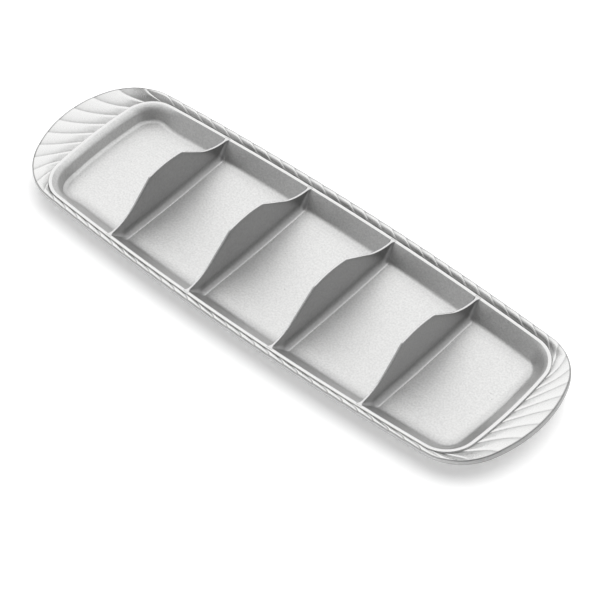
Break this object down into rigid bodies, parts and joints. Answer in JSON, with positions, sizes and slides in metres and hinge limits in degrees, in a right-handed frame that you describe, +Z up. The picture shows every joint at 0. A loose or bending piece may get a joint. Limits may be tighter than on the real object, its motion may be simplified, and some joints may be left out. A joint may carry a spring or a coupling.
{
  "type": "divided baguette tray",
  "caption": "Long cast-aluminium serving tray: shallow pan with humped cross dividers, a bead round its mouth and a fluted border that widens into end handles.",
  "frame": {"origin": "middle of the tray's flat underside, on the surface that it stands on", "axes": "+X along the length, +Y across, +Z up"},
  "size_m": [0.52, 0.161, 0.0442],
  "materials": {
    "pan": "satin sand-cast aluminium with a fine grain, brighter along the bead",
    "border": "burnished cast aluminium, bright on the flutes and darker in the grooves",
    "divider": "smooth satin cast aluminium with a polished top edge"
  },
  "bodies": {
    "root": {"pan": "pan", "gadroon_border": "border", "divider_1": "divider", "divider_2": "divider", "divider_3": "divider", "divider_4": "divider"}
  },
  "joints": []
}
